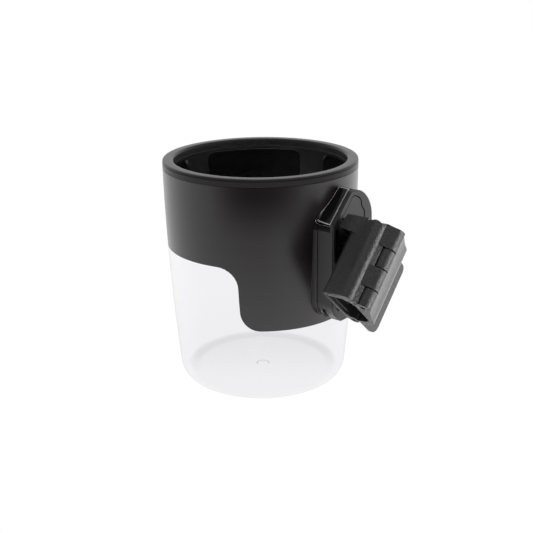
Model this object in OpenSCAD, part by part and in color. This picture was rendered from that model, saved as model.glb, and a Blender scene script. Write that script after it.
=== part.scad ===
// Tube-clamp cup holder: a clear cup in a dark sleeve, with a quick-release mount,
// a swivelling clamp and a hinged clamp door.
// Frame: origin at the middle of the cup's base, +Z up, +X towards the clamp.

/* [Cup] */
// Height of the whole cup
cup_h = 111; // [106:1:118]
// Outer radius of the wall above the base corner
base_r = 41.7; // [41:0.1:42.5]
// Outer radius of the wall at the top
top_r = 47; // [46.5:0.1:47.5]
// Extra radius half way up the slightly barrelled wall
barrel = 1.18; // [0:0.02:1.4]
// Radius of the rounded base corner
base_corner = 8.1; // [6:0.1:9]
// Thickness of the clear floor
floor_t = 2.4; // [2:0.1:3.5]

/* [Sleeve and liner] */
// Height of the sleeve's lower edge away from the mount
sleeve_z = 69.25; // [66:0.25:72]
// Height of the sleeve's lower edge under the mount
tongue_z = 38.5; // [36:0.5:39]
// Half angle of the sleeve's tongue
tongue_deg = 63.8; // [58:0.2:68]
// Corner radius of the sleeve's lower edge
edge_r = 9.8; // [7:0.2:11]
// Thickness of the sleeve
sleeve_t = 1.2; // [1:0.1:1.4]
// Height of the rim ring
rim_h = 3.7; // [3.2:0.1:4.5]
// Angle covered by one grip pad
pad_deg = 69.4; // [60:0.2:72]

/* [Mount] */
// Distance of the mount's front face from the cup's axis
front_x = 54.4; // [54:0.1:55]
// Half width of the mount
mount_w = 15.5; // [15:0.1:16]
// Height of the centre of the mount's arched top
arch_z = 87; // [86:0.5:88]
// Travel of the release button
button_travel = 0.5; // [0.3:0.1:0.6]

/* [Clamp] */
// Height of the swivel axis
swivel_z = 75; // [74:0.5:76]
// Tilt of the clamp about the swivel axis
clamp_tilt = 43; // [0:1:90]
// Length of the clamp along the tube
clamp_len = 38; // [37:0.2:40]
// Distance of the tube side of the clamp's back wall from the cup's axis
back_x = 63.2; // [63:0.1:63.6]
// Depth of the clamp's opening
opening_d = 12; // [11.5:0.1:12.5]
// Width of the clamp's opening
opening_w = 22.6; // [22:0.1:23]

/* [Hidden] */
$fn = 96;

black = [0.13, 0.13, 0.13];
gloss = [0.05, 0.05, 0.06];
rubber = [0.08, 0.08, 0.08];
steel = [0.72, 0.73, 0.75];

wall_t = 2.6;                       // clear wall where it shows
liner_t = 2.8;                      // liner wall inside the clear cup
rim_z = cup_h - rim_h;              // underside of the rim ring
liner_z = 71;                       // lower edge of the liner
arch_r = mount_w;
cap_z = 87.4;                       // underside of the mount's front frame
mount_z0 = 42.3;                    // lower end of the mount
mount_corner = 10;
channel_w = 12.5;                   // half width of the tongue's channel
foot_z = 52;                        // top of the mount's closed feet
channel_x = [47.3, 49.3];           // back and front of the channel
lip_x = 50.4;                       // front of the rails that hold the tongue
facet_deg = 43.4;                   // slope of the cut shoulder
facet_d = 12.6;                     // distance of the cut shoulder from the arch's centre
button_x1 = 52.35;                  // front edge of the release button
button_y = [-9.3, 10.4];            // ends of the release button along the cut shoulder
button_t = 2;
shoulder_cut = 6.2;                 // depth kept clear of the tongue under the cut shoulder
clear = 0.2;                        // sliding clearance
jaw_x = 61.4;                       // back face of the clamp
block_z = 1.2;                      // underside of the clamp's upper shoulder
hub_x = 55.2;                       // face of the clamp's hub next to the tongue
half_in = -15.85;                   // tube side of the clamp's side wall
half_out = -19;                     // outside of the clamp's side wall at the back
clamp_z0 = -29.85;                  // lower end of the clamp, from the swivel axis
clamp_z1 = clamp_z0 + clamp_len;
hinge = [79.1, -11.05];             // centre of the door's hinge
hinge_r = 3.75;
bend = [72.9, -16.6];               // centre of the bend between the clamp's side and its hinge
bend_r = 3.9;
pin_r = 1.25;
knuckle_z = [for (k = [0.2177, 0.4847, 0.7303]) clamp_z0 + k * clamp_len];
knuckle_gap = 0.45;
door_x = back_x + opening_d;        // tube side of the door
catch = [65, 9.3];                  // centre of the catch pin
catch_r = 2.4;
tab_y = 23.8;                       // tip of the door's thumb tab
tab_x = [67.8, 69.4];
screw_z = [58, 76];                 // heights of the screws that hold the mount

// Outer radius of the wall at height z
function wall_r(z) = let (s = (z - base_corner) / (cup_h - 1 - base_corner))
    base_r + (top_r - base_r) * s + barrel * 4 * s * (1 - s);
// Profile of the wall between two heights, set in by d; every profile bends at the same heights
function wall_line(z0, z1, d) = let (bends = [for (q = [12 : 8 : 108]) if (q > z0 && q < z1) q])
    [for (z = concat([z0], bends, [z1])) [chord_r(z) - d, z]];
// Radius of the wall's straight facets at height z
function chord_r(z) = let (q = 12 + 8 * floor((z - 12) / 8), s = (z - q) / 8)
    wall_r(q) * (1 - s) + wall_r(q + 8) * s;
function reversed(p) = [for (i = [len(p) - 1 : -1 : 0]) p[i]];
function arc(c, r, a0, a1, n = 8) = [for (i = [0 : n])
    let (a = a0 + (a1 - a0) * i / n) c + r * [cos(a), sin(a)]];

// A ring that follows the wall, between heights z0 and z1 and set in by d0 and d1
module wall_ring(z0, z1, d0, d1) {
    rotate_extrude() polygon(concat(wall_line(z0, z1, d0), reversed(wall_line(z0, z1, d1))));
}

// Half of the sleeve's lower edge, as [angle, height], from the mount round to the back
edge_deg = edge_r / wall_r(55) * 180 / PI;
edge_lean = 0.25;
function edge_half() = concat(
    [for (a = [0 : 8 : tongue_deg - edge_deg - 4]) [a, tongue_z]],
    [for (i = [0 : 8]) let (a = -90 + i * 90 / 8)
        [tongue_deg - edge_lean + edge_deg * (cos(a) - 1), tongue_z + edge_r * (1 + sin(a))]],
    [for (i = [0 : 8]) let (a = 180 - i * 90 / 8)
        [tongue_deg + edge_lean + edge_deg * (1 + cos(a)), sleeve_z + edge_r * (sin(a) - 1)]],
    [for (a = [84 : 8 : 180]) [a, sleeve_z]]);

// Everything below the sleeve's lower edge, as a ring
module below_edge() {
    h = edge_half();
    n = len(h) - 1;
    path = concat(h, [for (i = [n - 1 : -1 : 1]) [360 - h[i][0], h[i][1]]]);
    m = len(path);
    pts = [for (p = path) for (q = [[36, 20], [56, 20], [56, p[1]], [36, p[1]]])
        [q[0] * cos(p[0]), q[0] * sin(p[0]), q[1]]];
    faces = [for (i = [0 : m - 1]) for (k = [0 : 3]) let (j = (i + 1) % m, l = (k + 1) % 4)
        for (f = [[4 * i + k, 4 * i + l, 4 * j + l], [4 * i + k, 4 * j + l, 4 * j + k]]) f];
    polyhedron(points = pts, faces = faces, convexity = 6);
}

// Outline of the mount in the Y-Z plane, grown by d and with its shoulder cut
module mount_outline(d = 0) {
    difference() {
        union() {
            translate([0, arch_z]) circle(r = arch_r + d);
            translate([-mount_w - d, mount_z0 + mount_corner])
                square([2 * (mount_w + d), arch_z - mount_z0 - mount_corner]);
            for (s = [-1, 1]) translate([s * (mount_w - mount_corner), mount_z0 + mount_corner])
                circle(r = mount_corner + d);
            translate([-mount_w + mount_corner, mount_z0 - d])
                square([2 * (mount_w - mount_corner), mount_corner + d]);
        }
        translate([0, arch_z]) rotate(90 + facet_deg) translate([facet_d + d, 0])
            translate([0, -20]) square([20, 40]);
    }
}

// Stands a Y-Z outline up between two values of X
module slab(x0, x1) {
    translate([x0, 0, 0]) rotate([90, 0, 90]) linear_extrude(x1 - x0) children();
}

// Outline of the tongue's wide plate, grown by d, clear of the release button
module plate_outline(d = 0) {
    difference() {
        union() {
            translate([-channel_w + clear - d, 30]) square([2 * (channel_w - clear + d), arch_z - 30]);
            translate([0, arch_z]) circle(r = channel_w - clear + d);
        }
        translate([0, arch_z]) rotate(90 + facet_deg) translate([facet_d - shoulder_cut + d, -20])
            square([20, 40]);
    }
}

// Outline of the tongue's front panel, grown by d
module panel_outline(d = 0) {
    polygon([[-8.9 - d, 40], [-8.9 - d, 91.6 + d * 0.4], [-2.6 - d * 0.9, 97.5 + d * 0.5],
        [-1.2 - d * 0.5, 99.3 + d * 0.9], [0.2, 99.9 + d], [1.8, 99.5 + d],
        [4.7 + d * 0.5, 98 + d * 0.9], [5.9 + d, 96.6], [6.3 + d, 94.2], [8.6 + d, 91.4],
        [8.9 + d, 88.4], [8.9 + d, 40]]);
}

// Puts children in the frame of the release button: +X along the cup's radius,
// +Z out of the cut shoulder, and its outer face at z = 0
module at_facet() {
    translate([0, 0, arch_z]) rotate([facet_deg, 0, 0]) translate([0, 0, facet_d]) children();
}

// Puts children in the clamp's frame: origin on the swivel axis, Z along the tube
module at_clamp() {
    translate([0, 0, swivel_z]) rotate([-clamp_tilt, 0, 0]) children();
}

// A coil spring along Z
module coil(r, wire, turns, h, steps = 14) {
    n = round(turns * steps);
    pts = [for (i = [0 : n]) for (k = [0 : 5])
        let (a = 360 * i / steps, b = 60 * k, q = r + wire * cos(b))
        [q * cos(a), q * sin(a), h * i / n + wire * sin(b)]];
    side = [for (i = [0 : n - 1]) for (k = [0 : 5]) let (l = (k + 1) % 6)
        for (f = [[6 * i + k, 6 * i + l, 6 * i + 6 + l], [6 * i + k, 6 * i + 6 + l, 6 * i + 6 + k]]) f];
    polyhedron(points = pts,
        faces = concat(side, [[5, 4, 3, 2, 1, 0]], [[for (k = [0 : 5]) 6 * n + k]]), convexity = 8);
}

// Inside outline of the clamp's opening, in its X-Y plane
module opening_outline() {
    polygon([[back_x, half_in + 1.2], [back_x + 1.2, half_in], [71, half_in], [73.7, -13.6],
        [door_x, -11.2], [door_x, half_in + opening_w], [back_x + 4, half_in + opening_w],
        [back_x + 1.3, half_in + opening_w - 1.2], [back_x, half_in + opening_w - 4]]);
}

// Outline of the fixed jaw round that opening
module jaw_outline() {
    difference() {
        union() {
            translate([jaw_x + 2.5, half_out + 2.5]) circle(r = 2.5, $fn = 48);
            translate(bend) circle(r = bend_r, $fn = 64);
            translate([jaw_x + 2.2, half_in + opening_w + 0.3]) circle(r = 2.2, $fn = 48);
            polygon([[jaw_x, half_out + 2.5], [jaw_x + 2.5, half_out], [bend[0], bend[1] - bend_r],
                bend, [bend[0] + bend_r, bend[1] - 0.6], [78.3, -15.4], [78.3, -12],
                [75.4, -10.6], [74, -8],
                [67.2, half_in + opening_w], [67.2, 9.25], [jaw_x + 2.2, 9.25],
                [jaw_x, half_in + opening_w + 0.3]]);
            translate(catch) circle(r = catch_r, $fn = 48);
        }
        opening_outline();
    }
}

// The bands along the hinge that one leaf's knuckles fill
module knuckle_bands(first) {
    z = concat([clamp_z0], knuckle_z, [clamp_z1]);
    for (i = [first : 2 : 3]) translate([60, -30, z[i] + (i == 0 ? 0 : knuckle_gap / 2)])
        cube([30, 60, z[i + 1] - z[i] - (i == 0 || i == 3 ? knuckle_gap / 2 : knuckle_gap)]);
}

module clear_cup() {
    color([0.92, 0.94, 0.95, 0.35]) difference() {
        rotate_extrude() polygon(concat([[0, 0]],
            arc([base_r - base_corner, base_corner], base_corner, -90, 0, 10),
            wall_line(12, rim_z, 0), reversed(wall_line(12, rim_z, wall_t)),
            arc([base_r - base_corner, base_corner], base_corner - wall_t, 0, -90, 10),
            [[base_r - base_corner - 2, floor_t + 0.2], [0, floor_t]]));
        difference() {
            wall_ring(tongue_z - 1, rim_z + 1, -3, sleeve_t);
            below_edge();
        }
        for (z = screw_z) translate([30, 0, z]) rotate([0, 90, 0]) cylinder(r = 2.1, h = 20, $fn = 32);
    }
}

module sleeve() {
    color(black) difference() {
        union() {
            wall_ring(tongue_z - 1, rim_z, 0, sleeve_t);
            intersection() {
                difference() {
                    slab(38, front_x - 8.7) mount_outline(0.4);
                    button_room();
                }
                rotate_extrude() polygon(concat(wall_line(38, 106, 0.6), [[60, 106], [60, 38]]));
            }
        }
        below_edge();
        for (z = screw_z) translate([30, 0, z]) rotate([0, 90, 0]) cylinder(r = 1.6, h = 20, $fn = 32);
    }
}

module rim_ring() {
    r = chord_r(rim_z);
    groove_z = cup_h - 0.95;
    color(black) rotate_extrude() polygon(concat(
        [[r - wall_t - liner_t, rim_z], [r - 0.25, rim_z], [r, rim_z + 0.25]],
        [[top_r - 0.02, groove_z - 0.3], [top_r - 0.45, groove_z], [top_r - 0.1, groove_z + 0.25]],
        arc([top_r - 0.8, cup_h - 0.7], 0.7, 0, 90, 5),
        arc([r - wall_t - liner_t + 1.3, cup_h - 1.3], 1.3, 90, 180, 6)));
}

module liner() {
    color(black) difference() {
        wall_ring(liner_z, rim_z, wall_t, wall_t + liner_t);
        for (a = [45 : 90 : 315]) rotate(a) pad_window(0);
        for (z = screw_z) translate([30, 0, z]) rotate([0, 90, 0]) cylinder(r = 3.4, h = 20, $fn = 32);
    }
}

// One rounded window of the liner, shrunk by d, as a radial block
module pad_window(d) {
    half = 41.5 * sin(pad_deg / 2) - d;
    z0 = liner_z + 3.5 + d;
    z1 = cup_h - 5.3 - d;
    corner = 3;
    translate([25, 0, 0]) rotate([90, 0, 90]) linear_extrude(25) union() {
        translate([-half, z0 + corner]) square([2 * half, z1 - z0 - 2 * corner]);
        translate([-half + corner, z0]) square([2 * (half - corner), z1 - z0]);
        for (s = [-1, 1]) for (z = [z0 + corner, z1 - corner])
            translate([s * (half - corner), z]) circle(r = corner, $fn = 32);
    }
}

module grip_pads() {
    color(rubber) for (a = [45 : 90 : 315]) rotate(a) intersection() {
        wall_ring(liner_z, rim_z, wall_t, wall_t + liner_t - 0.8);
        pad_window(0.15);
    }
}

module mount_housing() {
    color(black) difference() {
        union() {
            slab(front_x - 8.7, front_x - 0.5) mount_outline();
            slab(front_x - 0.5, front_x) mount_outline(-0.35);
        }
        // open front between the frame and the feet, and the tongue's way through them
        slab(lip_x, front_x + 1) polygon([[1.7 - mount_w, foot_z], [mount_w - 1.7, foot_z],
            [mount_w - 1.7, 82], [9, cap_z], [1.7 - mount_w, cap_z]]);
        slab(channel_x[0], channel_x[1]) plate_outline(clear);
        slab(channel_x[1] - 0.01, 52.6) intersection() {
            plate_outline(clear);
            panel_outline(0.45);
        }
        slab(52.2, front_x + 1) panel_outline(0.45);
        // pocket of the release button and its spring
        button_room();
        at_facet() translate([49.2, -1, -5.6]) cylinder(r = 1.7, h = 4, $fn = 32);
        for (z = screw_z) translate([40, 0, z]) rotate([0, 90, 0]) cylinder(r = 1.25, h = 20, $fn = 32);
        // moulded slots in the lower corners: one on the round edge and one on the front
        for (s = [0, 1]) mirror([0, s, 0]) translate([0, mount_corner - mount_w, mount_z0 + mount_corner]) {
            rotate([38, 0, 0]) translate([48, -mount_corner - 2, -3]) cube([1.7, 3.2, 6]);
            rotate([43, 0, 0]) translate([front_x - 1.2, -7.2, -2.8]) cube([2, 0.8, 5.6]);
        }
        rotate_extrude() polygon(concat(wall_line(30, 106, 0), [[20, 106], [20, 30]]));
    }
}

module housing_screws() {
    color(steel) for (z = screw_z) translate([0, 0, z]) rotate([0, 90, 0]) {
        translate([0, 0, wall_r(z) - sleeve_t - 1.5]) cylinder(r = 2, h = 1.3, $fn = 32);
        translate([0, 0, wall_r(z) - sleeve_t - 0.2])
            cylinder(r = 1.2, h = 46.9 - wall_r(z) + sleeve_t, $fn = 32);
    }
}

// Pocket of the release button, with room for its travel
module button_room() {
    at_facet() translate([40, -12, -button_t - button_travel - 0.1]) cube([button_x1 + 0.12 - 40, 24, 10]);
}

module release_button() {
    color(gloss) difference() {
        at_facet() difference() {
            intersection() {
                translate([0, 12, 0]) rotate([90, 0, 0]) linear_extrude(24) polygon([[44.4, -button_t],
                    [button_x1, -button_t], [button_x1, 0], [46.2, 0.7], [45.4, 1.05], [44.4, 0.7]]);
                slab(43, 53) polygon(concat([[button_y[0], -button_t], [button_y[1], -button_t]],
                    arc([button_y[1] - 1.3, -0.25], 1.3, 0, 90, 6),
                    arc([button_y[0] + 1.3, -0.25], 1.3, 90, 180, 6)));
            }
            translate([47.8, 1, -button_t - 1]) cube([button_x1 - 48.8, 6.5, 2.2]);
        }
        rotate_extrude() polygon(concat(wall_line(70, 107, -0.3), [[20, 107], [20, 70]]));
    }
}

module button_spring() {
    color(steel) at_facet() translate([49.2, -1, -5.3]) coil(1.15, 0.2, 4, 2.5);
}

module tongue() {
    color(black) difference() {
        union() {
            slab(channel_x[0] + clear, channel_x[1] - clear) intersection() {
                plate_outline();
                translate([-20, 44]) square([40, 80]);
            }
            slab(channel_x[1] - clear - 0.5, 52.4) intersection() {
                plate_outline();
                panel_outline();
                tongue_end();
            }
            slab(52.39, 52.81) intersection() {
                panel_outline();
                tongue_end();
            }
            slab(52.8, front_x - 0.15) intersection() {
                panel_outline();
                translate([-20, cap_z]) square([40, 40]);
            }
        }
        translate([40, 0, swivel_z]) rotate([0, 90, 0]) cylinder(r = 3.05, h = 20);
        translate([40, 0, swivel_z]) rotate([0, 90, 0]) cylinder(r = 6, h = 10);
    }
}

// The tongue's rounded lower end
module tongue_end() {
    translate([-20, 46]) square([40, 100]);
    translate([-6, 41]) square([12, 6]);
    for (s = [-1, 1]) translate([s * 6, 43.5]) circle(r = 2.5, $fn = 32);
    translate([-8.5, 43.5]) square([17, 3]);
}

module index_ring() {
    teeth = 24;
    color(black) translate([52.81, 0, swivel_z]) rotate([0, 90, 0]) difference() {
        union() {
            cylinder(r = 7.7, h = 1.4);
            for (i = [0 : teeth - 1]) rotate(360 / teeth * i) translate([7.3, -0.5, 0]) cube([1.2, 1, 1.4]);
        }
        translate([0, 0, -1]) cylinder(r = 6.1, h = 5);
    }
}

module swivel_bush() {
    color(steel) translate([50.1, 0, swivel_z]) rotate([0, 90, 0]) difference() {
        cylinder(r = 3, h = 10.3);
        translate([0, 0, -1]) cylinder(r = 1.75, h = 14);
    }
}

module swivel_screw() {
    color(steel) translate([48.2, 0, swivel_z]) rotate([0, 90, 0]) {
        cylinder(r = 3.4, h = 1.2);
        cylinder(r = 1.7, h = 14.1);
    }
}

module swivel_washer() {
    color(steel) translate([49.45, 0, swivel_z]) rotate([0, 90, 0]) difference() {
        cylinder(r = 5, h = 0.5);
        translate([0, 0, -1]) cylinder(r = 1.75, h = 3);
    }
}

module clamp_jaw() {
    color(black) at_clamp() difference() {
        union() {
            translate([0, 0, clamp_z0]) linear_extrude(clamp_len) jaw_outline();
            intersection() {
                translate([0, 0, clamp_z0]) linear_extrude(clamp_len) hinge_leaf();
                knuckle_bands(1);
            }
            // hub, and the upper shoulder with its index ribs, on the back
            translate([hub_x, 0, 0]) rotate([0, 90, 0]) cylinder(r = 9.5, h = jaw_x - hub_x + 1);
            intersection() {
                translate([0, 0, clamp_z0]) linear_extrude(clamp_len) polygon([[55, -19.1], [60, -19.6],
                    [64, -19.6], [67.5, -19.5], [67.5, -17], [jaw_x + 0.5, -17],
                    [jaw_x + 0.5, -8], [55, -4]]);
                rotate([90, 0, 0]) linear_extrude(30) polygon([[55.5, block_z + 1], [56.9, block_z - 0.2],
                    [68, block_z - 1.8], [68, clamp_z1], [57.2, clamp_z1]]);
            }
            for (i = [0 : 2]) translate([hub_x - 0.1, -18.7, block_z + 1.9 + 1.2 * i]) cube([2, 4, 0.5]);
        }
        // room for the door's knuckles
        intersection() {
            translate([0, 0, clamp_z0 - 1]) linear_extrude(clamp_len + 2) union() {
                translate(hinge) circle(r = hinge_r + 0.4);
                polygon([[79.3, -15.1], [79.3, -20], [85, -20], [85, -6], [75.35, -8], [75.3, -10.9]]);
            }
            knuckle_room();
        }
        // sloped end of the side wall
        translate([68.5, half_out - 3, clamp_z1]) rotate([-38, 0, 0])
            translate([0, -6, 0.5]) cube([8.6, 10, 6]);
        translate([hinge[0], hinge[1], clamp_z0 - 1]) cylinder(r = pin_r, h = clamp_len + 2);
        translate([catch[0], catch[1], clamp_z0 - 1]) cylinder(r = 1.05, h = clamp_len + 2, $fn = 48);
        translate([40, 0, 0]) rotate([0, 90, 0]) cylinder(r = 3.06, h = 60.45 - 40);
        translate([40, 0, 0]) rotate([0, 90, 0]) cylinder(r = 1.7, h = 30);
    }
}

// The gaps along the hinge that hold the door's knuckles
module knuckle_room() {
    translate([60, -30, clamp_z0 - 1]) cube([30, 60, knuckle_z[0] - clamp_z0 + 1 + knuckle_gap / 2]);
    translate([60, -30, knuckle_z[1] - knuckle_gap / 2])
        cube([30, 60, knuckle_z[2] - knuckle_z[1] + knuckle_gap]);
}

// A hinge barrel with the web that joins it to the jaw's side wall
module hinge_leaf() {
    translate(hinge) circle(r = hinge_r);
    polygon([[bend[0] + bend_r, bend[1] - 0.6], [80.2, -14.6], hinge, [75.36, -11.2], [75.2, -12.5],
        [73.8, -14]]);
}

module jaw_pad() {
    color(rubber) at_clamp() {
        translate([back_x, half_in + 1.6, clamp_z0 + 1.2]) cube([1.3, opening_w - 6, clamp_len - 2.4]);
        for (y = [-11.5 : 5 : 0]) for (z = [clamp_z0 + 4.2 : 6.2 : clamp_z1 - 3])
            translate([back_x + 1.2, y, z]) rotate([0, 90, 0]) cylinder(r = 0.85, h = 0.9, $fn = 24);
    }
}

module side_pad() {
    color(rubber) at_clamp() {
        translate([65.6, half_in, clamp_z0 + 1.2]) cube([5, 1.3, clamp_len - 2.4]);
        for (z = [clamp_z0 + 4.2 : 6.2 : clamp_z1 - 3])
            translate([68.1, half_in + 1.2, z]) rotate([-90, 0, 0]) cylinder(r = 0.85, h = 0.9, $fn = 24);
    }
}

module catch_pin() {
    color(steel) at_clamp() translate([catch[0], catch[1], clamp_z0 + 0.6])
        cylinder(r = 1, h = clamp_len - 1.2, $fn = 48);
}

module hinge_pin() {
    color(steel) at_clamp() translate([hinge[0], hinge[1], clamp_z0 + 0.8])
        cylinder(r = pin_r - 0.03, h = clamp_len - 1.6);
}

module door_spring() {
    color(steel) at_clamp() translate([hinge[0], hinge[1], knuckle_z[1] + 1.2]) coil(1.75, 0.2, 6, 5);
}

module clamp_door() {
    color(black) at_clamp() difference() {
        union() {
            translate([0, 0, clamp_z0]) linear_extrude(clamp_len) door_outline();
            intersection() {
                translate([0, 0, clamp_z0]) linear_extrude(clamp_len) door_leaf();
                knuckle_bands(0);
            }
            thumb_tab();
        }
        // room for the jaw's knuckles
        intersection() {
            translate([0, 0, clamp_z0 - 1]) linear_extrude(clamp_len + 2)
                translate(hinge) circle(r = hinge_r + 0.3);
            union() {
                translate([60, -30, knuckle_z[0] - knuckle_gap / 2])
                    cube([30, 60, knuckle_z[1] - knuckle_z[0] + knuckle_gap]);
                translate([60, -30, knuckle_z[2] - knuckle_gap / 2]) cube([30, 60, 20]);
            }
        }
        translate([hinge[0], hinge[1], clamp_z0 - 1]) cylinder(r = pin_r + 0.05, h = clamp_len + 2);
        translate([hinge[0], hinge[1], knuckle_z[1] + 0.6]) cylinder(r = 2.1, h = 6.4);
    }
}

// The door's wall beyond the hinge, with its bent free edge
module door_outline() {
    polygon([[door_x + 0.15, -6.6], [81.6, -8.3], [80.1, -4.6], [78.6, -0.6], [77.5, 3], [76.9, 6],
        [75.9, 8.3], [74.2, 10], [72.2, 10.9], [70.3, 11.3], [69.6, 12.2], [tab_x[0], 12.2], [tab_x[0], 8],
        [70.4, 7.4], [72.6, 6.9], [74, 5.6], [door_x + 0.15, 3.8]]);
}

// The door's knuckles, whose webs reach back to its wall
module door_leaf() {
    translate(hinge) circle(r = hinge_r);
    polygon([[75.7, -11.4], [door_x + 0.15, -8], [door_x + 0.15, -6], [81.6, -8], [82.6, -10]]);
}

// The flat thumb tab along the door's free edge
module thumb_tab() {
    z0 = clamp_z0;
    z1 = clamp_z1 - 2;
    y0 = 10.5;
    translate([tab_x[0], 0, 0]) rotate([90, 0, 90]) linear_extrude(tab_x[1] - tab_x[0]) union() {
        translate([y0, z0]) square([tab_y - y0 - 4.5, z1 - z0]);
        translate([y0, z0 + 4.5]) square([tab_y - y0, z1 - z0 - 7.5]);
        translate([tab_y - 4.5, z0 + 4.5]) circle(r = 4.5, $fn = 48);
        translate([tab_y - 3, z1 - 3]) circle(r = 3, $fn = 48);
        translate([tab_y - 5, z1 - 3]) square([2, 3]);
    }
}

module door_pad() {
    color(rubber) at_clamp() {
        translate([door_x + 0.15 - 1.3, -6.4, clamp_z0 + 1.2]) cube([1.3, 10, clamp_len - 2.4]);
        for (y = [-4, 1]) for (z = [clamp_z0 + 4.2 : 6.2 : clamp_z1 - 3])
            translate([door_x + 0.15 - 2.1, y, z]) rotate([0, 90, 0]) cylinder(r = 0.85, h = 0.9, $fn = 24);
    }
}

clear_cup();
sleeve();
rim_ring();
liner();
grip_pads();
mount_housing();
housing_screws();
release_button();
button_spring();
tongue();
index_ring();
swivel_bush();
swivel_screw();
swivel_washer();
clamp_jaw();
jaw_pad();
side_pad();
catch_pin();
hinge_pin();
door_spring();
clamp_door();
door_pad();
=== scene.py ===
import math

import bpy
from mathutils import Matrix, Vector

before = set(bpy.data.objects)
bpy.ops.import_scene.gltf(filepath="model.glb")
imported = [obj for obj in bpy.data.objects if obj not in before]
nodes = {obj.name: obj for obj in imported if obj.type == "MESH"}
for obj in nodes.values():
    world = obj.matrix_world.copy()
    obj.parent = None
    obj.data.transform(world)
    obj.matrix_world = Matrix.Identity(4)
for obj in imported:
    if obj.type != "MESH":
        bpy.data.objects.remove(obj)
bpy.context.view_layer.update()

MM = 0.001
TURN = math.radians(39.7)  # the viewer's side of the cup, from the front
TOWARD = (math.sin(TURN), -math.cos(TURN), 0)  # level, from the cup towards the viewer
RIGHT = (math.cos(TURN), math.sin(TURN), 0)  # level, to the viewer's right
UP = (0, 0, 1)

CRISP = math.radians(32)  # edges that bend more than this stay crisp
WELD = 0.002 * MM  # points closer than this are one

FLOOR_HALF = 1500 * MM
FLOOR_Z = -0.4 * MM  # just under the cup, so that the two faces never fight

# the clear cup's outside: a wall that leans out above a round base corner
CORNER_RADIUS = 33.6 * MM  # where the round corner's centre line stands, from the cup's axis
CORNER_Z = 8.1 * MM
WALL_LEAN = 0.075
SKIN_IN, SKIN_OUT = 6.7 * MM, 6.9 * MM  # beyond this from the centre line, a face is an outside one

CLAMP = ("clamp_jaw", "clamp_door", "jaw_pad", "side_pad", "door_pad")
CLAMP_TILT = math.radians(43)
CLAMP_END = (0, -math.sin(CLAMP_TILT), -math.cos(CLAMP_TILT))  # the way the clamp's lower end faces


# ---------------------------------------------------------------- camera
def make_camera():
    """The photograph's view: its place, direction and lens, in the CAD frame."""
    distance, height = 452.88 * MM, 211.95 * MM
    pitch = math.radians(19.121)
    yaw = math.radians(0.299) - TURN
    roll = math.radians(-0.639)
    place = Matrix.Rotation(TURN, 3, "Z") @ Vector((0, -distance, height))
    forward = Vector((math.sin(yaw) * math.cos(pitch), math.cos(yaw) * math.cos(pitch), -math.sin(pitch)))
    right = Vector((math.cos(yaw), -math.sin(yaw), 0))
    up = right.cross(forward)
    right, up = math.cos(roll) * right + math.sin(roll) * up, math.cos(roll) * up - math.sin(roll) * right
    data = bpy.data.cameras.new("camera")
    data.sensor_width = 36
    data.lens = 64.88
    data.clip_start = 0.01
    data.clip_end = 20
    camera = bpy.data.objects.new("camera", data)
    camera.matrix_world = Matrix.Translation(place) @ Matrix((right, up, -forward)).transposed().to_4x4()
    bpy.context.scene.collection.objects.link(camera)
    bpy.context.scene.camera = camera


# ---------------------------------------------------------------- node helpers
class Tree:
    """Short calls for building a shader's nodes."""

    def __init__(self, tree):
        self.tree = tree
        tree.nodes.clear()

    def add(self, kind, samples=None, **sockets):
        node = self.tree.nodes.new(kind)
        if samples:
            node.samples = samples
        for key, value in sockets.items():
            self.put(node.inputs[key.replace("_", " ")], value)
        return node

    def put(self, socket, value):
        if isinstance(value, bpy.types.NodeSocket):
            self.tree.links.new(value, socket)
        elif isinstance(value, (tuple, list)) and socket.type == "RGBA":
            socket.default_value = (*value, 1)
        else:
            socket.default_value = value

    def math(self, op, a, b=0.0, c=0.0, clamp=False):
        node = self.tree.nodes.new("ShaderNodeMath")
        node.operation = op
        node.use_clamp = clamp
        for socket, value in zip(node.inputs, (a, b, c)):
            self.put(socket, value)
        return node.outputs[0]

    def dot(self, vector, axis):
        node = self.tree.nodes.new("ShaderNodeVectorMath")
        node.operation = "DOT_PRODUCT"
        self.put(node.inputs[0], vector)
        self.put(node.inputs[1], axis)
        return node.outputs["Value"]

    def blend(self, factor, first, second):
        node = self.tree.nodes.new("ShaderNodeMix")
        node.data_type = "RGBA"
        for key, value in (("Factor", factor), ("A", first), ("B", second)):
            self.put(node.inputs[key], value)
        return node.outputs["Result"]

    def mix(self, factor, first, second):
        node = self.tree.nodes.new("ShaderNodeMixShader")
        for socket, value in zip(node.inputs, (factor, first.outputs[0], second.outputs[0])):
            self.put(socket, value)
        return node

    def finish(self, shader, kind="ShaderNodeOutputMaterial"):
        self.put(self.tree.nodes.new(kind).inputs["Surface"], shader.outputs[0])

    def ramp(self, value, lo, hi, out_lo=0.0, out_hi=1.0):
        node = self.tree.nodes.new("ShaderNodeMapRange")
        node.interpolation_type = "SMOOTHSTEP"
        self.put(node.inputs["Value"], value)
        node.inputs["From Min"].default_value = lo
        node.inputs["From Max"].default_value = hi
        node.inputs["To Min"].default_value = out_lo
        node.inputs["To Max"].default_value = out_hi
        return node.outputs["Result"]

    def noise(self, vector, scale, detail=2.0, rough=0.5):
        node = self.add("ShaderNodeTexNoise", Scale=scale, Detail=detail, Roughness=rough)
        self.put(node.inputs["Vector"], vector)
        return node.outputs["Fac"]

    def place(self):
        return self.tree.nodes.new("ShaderNodeTexCoord").outputs["Object"]


def material(name):
    m = bpy.data.materials.new(name)
    m.use_nodes = True
    return m, Tree(m.node_tree)


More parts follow.
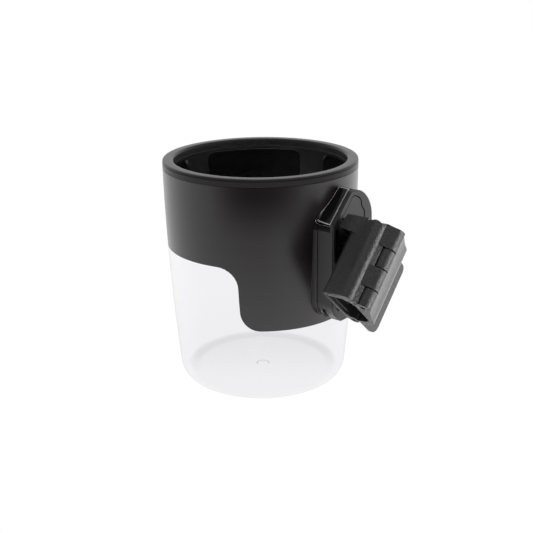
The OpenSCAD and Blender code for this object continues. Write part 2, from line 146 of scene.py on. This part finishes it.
# ---------------------------------------------------------------- surroundings
def make_world():
    """A studio bright at the sides, below and overhead, dark behind the viewer, with a white backdrop."""
    world = bpy.data.worlds.new("studio")
    bpy.context.scene.world = world
    world.use_nodes = True
    t = Tree(world.node_tree)
    way = t.add("ShaderNodeTexCoord").outputs["Generated"]
    toward, right, up = t.dot(way, TOWARD), t.dot(way, RIGHT), t.dot(way, UP)
    # dark behind the viewer, less so on their right, and brighter all the way round to the far side
    turned = t.math("MULTIPLY_ADD", t.math("MAXIMUM", right, 0.0), -0.6, toward)
    sides = t.math("SQRT", t.math("MAXIMUM", t.math("SUBTRACT", 1.0, turned), 0.0))
    sides = t.math("MAXIMUM", t.math("MULTIPLY_ADD", sides, 1.15, -0.12), 0.0)
    sides = t.math("MULTIPLY", sides, t.ramp(up, 0.36, 0.62, 1.0, 0.38))
    table = t.ramp(up, -0.25, -0.55, 0, 1.6)
    overhead = t.ramp(up, 0.86, 0.98, 0, 1.6)
    light = t.math("ADD", t.math("MAXIMUM", sides, table), overhead)
    seen = t.add("ShaderNodeLightPath").outputs["Is Camera Ray"]
    strength = t.math("ADD", t.math("MULTIPLY", t.math("SUBTRACT", 1.0, seen), light), seen)
    t.finish(t.add("ShaderNodeBackground", Color=(1, 1, 1), Strength=strength), "ShaderNodeOutputWorld")


def make_floor():
    """A white floor for the camera. Other rays pass through it and see the studio's light from below."""
    corners = [(x * FLOOR_HALF, y * FLOOR_HALF, FLOOR_Z) for x, y in ((-1, -1), (1, -1), (1, 1), (-1, 1))]
    mesh = bpy.data.meshes.new("floor")
    mesh.from_pydata(corners, [], [(0, 1, 2, 3)])
    floor = bpy.data.objects.new("floor", mesh)
    m, t = material("floor_white")
    seen = t.add("ShaderNodeLightPath").outputs["Is Camera Ray"]
    white = t.add("ShaderNodeEmission", Strength=t.math("MULTIPLY_ADD", t.noise(t.place(), 40.0), 0.01, 1.0))
    t.finish(t.mix(seen, t.add("ShaderNodeBsdfTransparent"), white))
    mesh.materials.append(m)
    bpy.context.scene.collection.objects.link(floor)


def area_light(name, place, aim, size, power, only):
    """A square soft light that reaches only the pieces named."""
    data = bpy.data.lights.new(name, "AREA")
    data.shape = "SQUARE"
    data.size = size
    data.energy = power
    light = bpy.data.objects.new(name, data)
    light.location = place
    light.rotation_mode = "QUATERNION"
    light.rotation_quaternion = (Vector(aim) - Vector(place)).to_track_quat("-Z", "Y")
    bpy.context.scene.collection.objects.link(light)
    lit = bpy.data.collections.new(name + "_lights")
    for piece in only:
        lit.objects.link(nodes[piece])
    light.light_linking.receiver_collection = lit


# ---------------------------------------------------------------- materials
def plastic(name, color, rough, specular=0.5, edge_mm=0.2, grain=0.0, grain_mm=0.3, spread=0.0,
            mottle=0.0, painted_ridge_highlight=None, painted_shade_end=None, painted_shade_front=0.0):
    """Moulded plastic with softened edges.

    grain and grain_mm: how deep and how wide the surface's grain is; spread: how much the shine varies.
    mottle: how much the colour varies. painted_ridge_highlight: the light colour of the painted highlight on
    the
    edges. painted_shade_end: the way the end faces that gets painted shade, near black and with little shine.
    painted_shade_front: how much shine is taken away at the top of the side towards the viewer, as painted
    shade.
    """
    m, t = material(name)
    spot = t.place()
    shine = t.add("ShaderNodeBsdfPrincipled", Base_Color=color, Roughness=rough, IOR=1.5,
                  Specular_IOR_Level=specular)
    normal = t.add("ShaderNodeBevel", samples=8, Radius=edge_mm * MM).outputs["Normal"]
    if spread:
        wide = t.noise(spot, 60.0, 3.0)
        t.put(shine.inputs["Roughness"], t.math("MULTIPLY_ADD", wide, spread, rough - spread / 2))
    # painted shade: the shine is taken down towards the top of the side facing the viewer, a darker patch
    # painted there
    if painted_shade_front:
        top = t.ramp(t.dot(spot, UP), 80 * MM, 106 * MM)
        front = t.ramp(t.dot(spot, TOWARD), 40.5 * MM, 47.2 * MM)
        t.put(shine.inputs["Specular IOR Level"],
              t.math("MULTIPLY_ADD", t.math("MULTIPLY", top, front), -painted_shade_front * specular, specular))
    if mottle:
        fleck = t.noise(spot, 0.5 / (grain_mm * MM))
        color = t.blend(fleck, tuple(c * (1 - mottle) for c in color), tuple(c * (1 + mottle) for c in color))
    # painted shade: the faces turned this way are painted near black and lose most of their shine
    if painted_shade_end:
        end = t.ramp(t.dot(t.add("ShaderNodeTexCoord").outputs["Normal"], painted_shade_end), 0.97, 0.99)
        color = t.blend(end, color, (0.001, 0.001, 0.001))
        t.put(shine.inputs["Specular IOR Level"], t.math("MULTIPLY_ADD", end, -0.76 * specular, specular))
    # painted highlight: the edges are painted a light colour where the softened normal turns away from the
    # face
    if painted_ridge_highlight:
        turned = t.dot(normal, t.add("ShaderNodeNewGeometry").outputs["Normal"])
        color = t.blend(t.ramp(turned, 0.999, 0.96), color, painted_ridge_highlight)
    t.put(shine.inputs["Base Color"], color)
    if grain:
        height = t.noise(spot, 1 / (grain_mm * MM), 3.0, 0.6)
        normal = t.add("ShaderNodeBump", Strength=1.0, Distance=0.06 * MM * grain, Height=height,
                       Normal=normal).outputs["Normal"]
    t.put(shine.inputs["Normal"], normal)
    t.finish(shine)
    return m


def clear_plastic(name):
    """Clear plastic as a thin grey film: greyer at its silhouette, low down and on its floor.

    The outside faces carry the wall's grey. The inside ones carry the floor's painted shade, greyer towards
    its far side and the far part of its corner, and the mould's gate mark, a real mark drawn as painted shade
    on its far half only.
    """
    m, t = material(name)
    spot = t.place()
    height, toward = t.dot(spot, UP), t.dot(spot, TOWARD)
    flat = t.math("POWER", t.math("ADD", t.math("POWER", t.dot(spot, (1, 0, 0)), 2.0),
                                  t.math("POWER", t.dot(spot, (0, 1, 0)), 2.0)), 0.5)
    # how far a face lies from the centre line of the base corner and of the wall above it
    lean = t.math("MULTIPLY", t.math("MAXIMUM", t.math("SUBTRACT", height, CORNER_Z), 0.0), WALL_LEAN)
    across = t.math("MAXIMUM", t.math("SUBTRACT", t.math("SUBTRACT", flat, CORNER_RADIUS), lean), 0.0)
    down = t.math("MAXIMUM", t.math("SUBTRACT", CORNER_Z, height), 0.0)
    away = t.math("SQRT", t.math("ADD", t.math("MULTIPLY", across, across), t.math("MULTIPLY", down, down)))
    outer = t.ramp(away, SKIN_IN, SKIN_OUT)

    low = t.ramp(height, 6 * MM, 60 * MM, 0.022, 0.0)
    facing = t.add("ShaderNodeLayerWeight", Blend=0.5).outputs["Facing"]
    silhouette = t.math("MULTIPLY", t.math("POWER", facing, 10.0), 0.1)
    outside = t.math("SUBTRACT", 0.94, t.math("ADD", low, silhouette))

    on_floor = t.ramp(height, 3 * MM, 5 * MM, 1.0, 0.0)
    # painted shade on the floor: greyer towards its far side and at the far part of its round corner
    painted_far_shade = t.ramp(toward, -34 * MM, 30 * MM, 0.085, 0.0)
    corner = t.math("MULTIPLY", t.ramp(flat, 31 * MM, 34.5 * MM, 0.0, 0.07),
                    t.ramp(toward, -20 * MM, 20 * MM, 1.0, 0.0))
    # the mould's gate mark is real; it is drawn as painted shade, a grey arc on its far half only
    ring = t.math("COMPARE", flat, 3.1 * MM, 0.4 * MM)
    gate = t.math("MULTIPLY", ring, t.ramp(toward, -1 * MM, 3 * MM, 0.22, 0.0))
    grey = t.math("MULTIPLY", on_floor, t.math("ADD", t.math("ADD", painted_far_shade, corner), gate))
    inside = t.math("SUBTRACT", 1.0, grey)

    clear = t.math("ADD", t.math("MULTIPLY", outside, outer),
                   t.math("MULTIPLY", inside, t.math("SUBTRACT", 1.0, outer)), clamp=True)
    tint = t.add("ShaderNodeCombineColor", Red=clear, Green=t.math("MULTIPLY", clear, 0.998),
                 Blue=t.math("MULTIPLY", clear, 1.003))
    film = t.add("ShaderNodeBsdfTransparent", Color=tint.outputs[0])
    gloss = t.add("ShaderNodeBsdfGlossy", Color=(1, 1, 1), Roughness=0.06)
    fresnel = t.add("ShaderNodeLayerWeight", Blend=0.12).outputs["Fresnel"]
    t.finish(t.mix(t.math("MULTIPLY", outer, t.math("MINIMUM", fresnel, 0.04)), film, gloss))
    return m


def metal(name, color, rough):
    m, t = material(name)
    worn = t.math("MULTIPLY_ADD", t.noise(t.place(), 900.0), 0.12, rough - 0.06)
    t.finish(t.add("ShaderNodeBsdfPrincipled", Base_Color=color, Metallic=1.0, Roughness=worn))
    return m


def wear(name, *pieces):
    for piece in pieces:
        nodes[piece].data.materials.clear()
        nodes[piece].data.materials.append(name)


def smooth(piece):
    """Shades a piece's curved faces smooth and keeps its edges crisp."""
    group = bpy.data.node_groups.get("smooth_by_angle")
    if group is None:
        group = bpy.data.node_groups.new("smooth_by_angle", "GeometryNodeTree")
        group.interface.new_socket("Geometry", in_out="INPUT", socket_type="NodeSocketGeometry")
        group.interface.new_socket("Geometry", in_out="OUTPUT", socket_type="NodeSocketGeometry")
        n, link = group.nodes, group.links.new
        start, end = n.new("NodeGroupInput"), n.new("NodeGroupOutput")
        weld = n.new("GeometryNodeMergeByDistance")
        weld.inputs["Distance"].default_value = WELD
        face = n.new("GeometryNodeSetShadeSmooth")
        face.domain = "FACE"
        edge = n.new("GeometryNodeSetShadeSmooth")
        edge.domain = "EDGE"
        bend = n.new("GeometryNodeInputMeshEdgeAngle")
        less = n.new("FunctionNodeCompare")
        less.data_type = "FLOAT"
        less.operation = "LESS_THAN"
        less.inputs["B"].default_value = CRISP
        link(bend.outputs["Unsigned Angle"], less.inputs["A"])
        link(start.outputs[0], weld.inputs["Geometry"])
        link(weld.outputs[0], face.inputs["Geometry"])
        link(face.outputs[0], edge.inputs["Geometry"])
        link(less.outputs["Result"], edge.inputs["Shade Smooth"])
        link(edge.outputs[0], end.inputs[0])
    mod = nodes[piece].modifiers.new("smooth", "NODES")
    mod.node_group = group


make_camera()
make_world()
make_floor()
bpy.context.scene.view_settings.view_transform = "Standard"  # so that the studio's white stays white
# the highlights along the clamp's bend, and along the ridges of the button and mount
area_light("right_box", (1.14, 0.36, 0.10), (0.06, 0, 0.08), 0.5, 9.5, CLAMP)
area_light("left_box", (-1.1, -0.03, 0.48), (0.05, -0.01, 0.1), 0.5, 26.0,
           ("release_button", "mount_housing"))

# the sleeve carries painted shade: less shine at the top of its side towards the viewer
sleeve_black = plastic("sleeve_black", (0.0075, 0.0049, 0.0058), 0.33, specular=0.62, edge_mm=0.25,
                       grain=0.07, grain_mm=0.35, spread=0.04, painted_shade_front=0.75)
rim_black = plastic("rim_black", (0.024, 0.022, 0.0224), 0.36, specular=0.14, edge_mm=0.3,
                    grain=0.06, grain_mm=0.35)
liner_black = plastic("liner_black", (0.013, 0.0122, 0.0122), 0.3, edge_mm=0.3, grain=0.06)
# the grip pads' black rubber, painted darker than rubber as painted shade of the recessed windows
pad_rubber_painted_shade = plastic("pad_rubber_painted_shade", (0.001, 0.001, 0.001), 0.4, specular=0.15, edge_mm=0.3)
mount_black = plastic("mount_black", (0.013, 0.0125, 0.0125), 0.45, edge_mm=0.3, grain=0.3)
# the clamp's lower end carries painted shade, painted near black
clamp_black = plastic("clamp_black", (0.02, 0.0186, 0.019), 0.32, edge_mm=0.4, grain=4.5, grain_mm=0.8,
                      mottle=0.6, painted_shade_end=CLAMP_END)
# the gloss black's edges carry a painted highlight, a light colour painted along them
gloss_black = plastic("gloss_black", (0.0015, 0.0015, 0.0015), 0.1, specular=0.35, edge_mm=0.7,
                      painted_ridge_highlight=(0.65, 0.65, 0.65))
soft_rubber = plastic("soft_rubber", (0.004, 0.004, 0.004), 0.5, grain=0.3)
steel = metal("steel", (0.55, 0.55, 0.56), 0.3)
clear = clear_plastic("clear_plastic")

wear(clear, "clear_cup")
wear(sleeve_black, "sleeve")
wear(rim_black, "rim_ring")
wear(liner_black, "liner")
wear(pad_rubber_painted_shade, "grip_pads")
wear(mount_black, "mount_housing", "tongue", "index_ring")
wear(gloss_black, "release_button")
wear(clamp_black, "clamp_jaw", "clamp_door")
wear(soft_rubber, "jaw_pad", "side_pad", "door_pad")
wear(steel, "housing_screws", "button_spring", "swivel_bush", "swivel_screw", "swivel_washer", "catch_pin",
     "hinge_pin", "door_spring")
for piece in nodes:
    smooth(piece)
